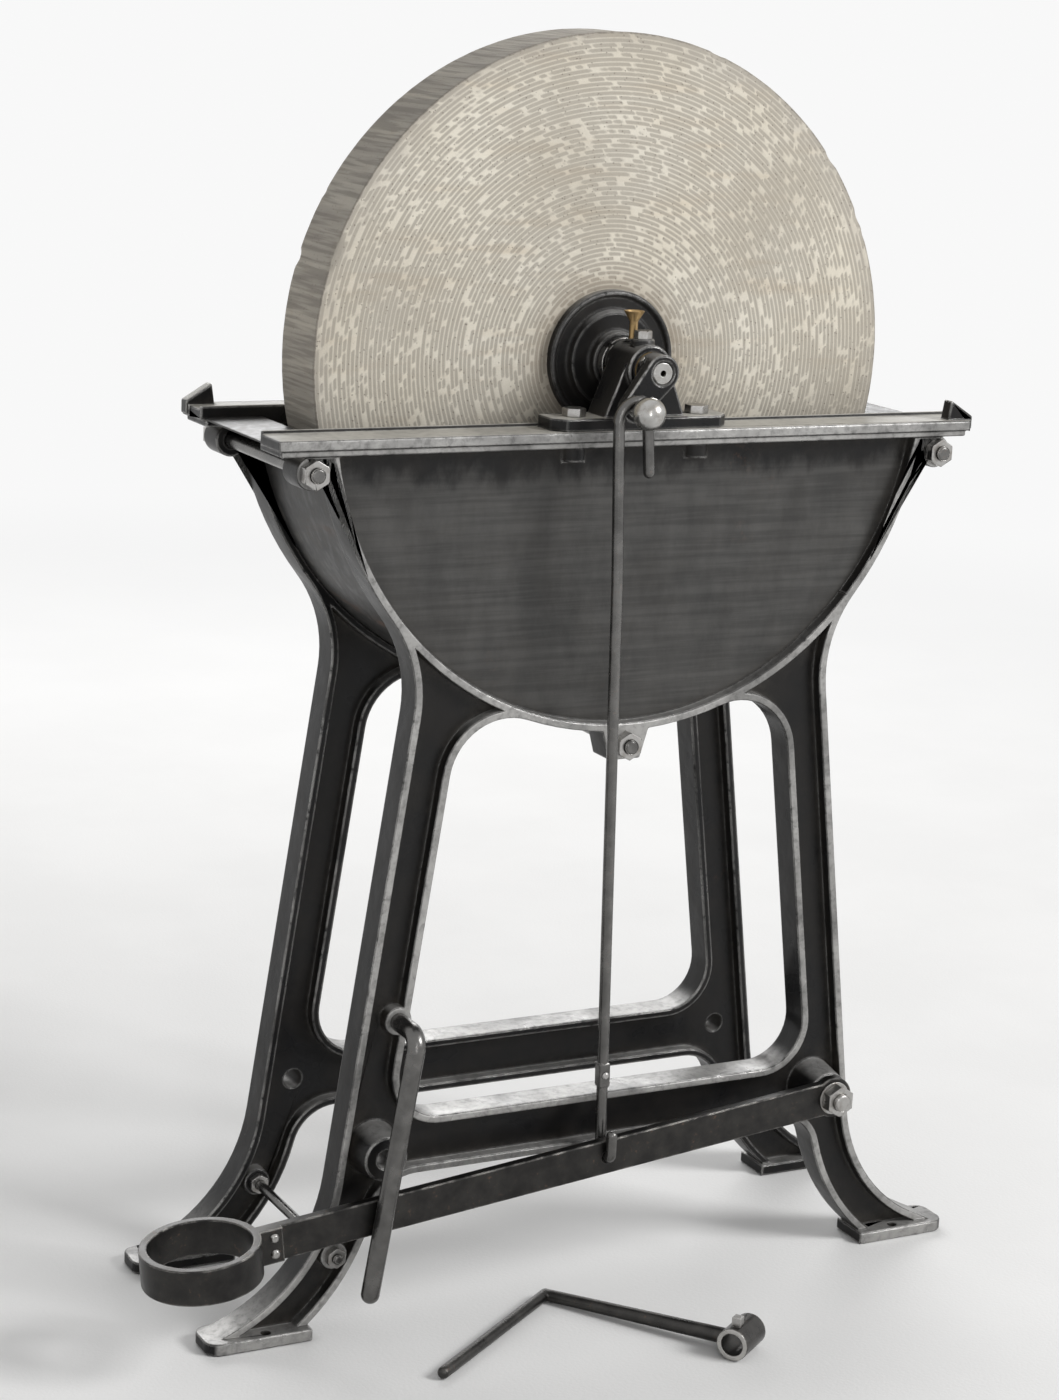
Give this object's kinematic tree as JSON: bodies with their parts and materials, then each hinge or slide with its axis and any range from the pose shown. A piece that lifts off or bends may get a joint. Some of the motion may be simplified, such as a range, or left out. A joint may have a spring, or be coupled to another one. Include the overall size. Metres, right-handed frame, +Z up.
{
  "type": "treadle grindstone",
  "caption": "Floor-standing treadle grindstone: a large stone on a spindle over a half-round water trough, with cast legs, a crank, a hooked rod, a foot treadle and a loose hand crank.",
  "frame": {"origin": "middle of the rectangle of the four floor screw holes, on the floor", "axes": "+Z up, +Y along the spindle from the treadle side to the rear, +X towards the end with the treadle pivot"},
  "size_m": [0.9115, 0.4817, 1.23],
  "materials": {
    "black_cast_iron": "satin",
    "black_sheet_iron": "satin",
    "iron_rods": "satin",
    "wrought_iron_bar": "satin",
    "steel_fasteners": "satin",
    "bright_steel": "satin",
    "bronze": "satin",
    "sandstone": "matte",
    "packing_wood": "matte"
  },
  "bodies": {
    "frame": {"front_side_frame": "black_cast_iron", "rear_side_frame": "black_cast_iron", "trough": "black_sheet_iron", "upper_left_tie_rod": "iron_rods", "upper_right_tie_rod": "iron_rods", "bottom_tie_rod": "iron_rods", "tie_rod_nuts": "steel_fasteners", "lower_left_brace_rod": "iron_rods", "brace_rod_nuts": "steel_fasteners", "front_bearing": "black_cast_iron", "rear_bearing": "black_cast_iron", "front_bearing_bush": "bronze", "rear_bearing_bush": "bronze", "front_bearing_bolts": "steel_fasteners", "rear_bearing_bolts": "steel_fasteners", "front_oil_plug": "steel_fasteners", "rear_oil_plug": "steel_fasteners", "front_oil_cup": "bronze", "rear_oil_cup": "bronze", "treadle_pivot_bolt": "steel_fasteners", "treadle_pivot_washers": "steel_fasteners", "treadle_pivot_nut": "steel_fasteners", "treadle_guide_rod": "iron_rods", "treadle_guide_nut": "steel_fasteners"},
    "stone_spindle": {"spindle": "bright_steel", "grindstone": "sandstone", "stone_packing_bush": "packing_wood", "front_stone_flange": "black_cast_iron", "rear_stone_flange": "black_cast_iron", "flange_lock_rings": "steel_fasteners", "crank_arm": "black_cast_iron", "crank_taper_pin": "bright_steel", "crank_pin": "bright_steel"},
    "treadle": {"treadle_bar": "wrought_iron_bar", "treadle_loop_rivets": "steel_fasteners"},
    "rod": {"connecting_rod": "iron_rods", "connecting_rod_rivet": "steel_fasteners"},
    "loose_hand_crank": {"hand_crank": "wrought_iron_bar", "hand_crank_set_screw": "steel_fasteners"}
  },
  "joints": [
    {"name": "spindle_turn", "type": "hinge", "parent": "frame", "child": "stone_spindle", "pos_m": [0, 0, 0.925], "axis": [0, 1, 0], "continuous": true},
    {"name": "treadle_swing", "type": "hinge", "parent": "frame", "child": "treadle", "pos_m": [0.24748, -0.142, 0.181], "axis": [0, 1, 0], "range_deg": [0, 16.5]},
    {"name": "rod_swing", "type": "hinge", "parent": "treadle", "child": "rod", "pos_m": [-0.01314, -0.142, 0.15407], "axis": [0, 1, 0], "range_deg": [-16.5, 0]},
    {"name": "hand_crank_lift", "type": "slide", "parent": "frame", "child": "loose_hand_crank", "axis": [0, 0, 1], "range_m": [0, 0.06]}
  ],
  "couplings": [
    {"joint": "rod_swing", "follows": "treadle_swing", "ratio": -1}
  ]
}
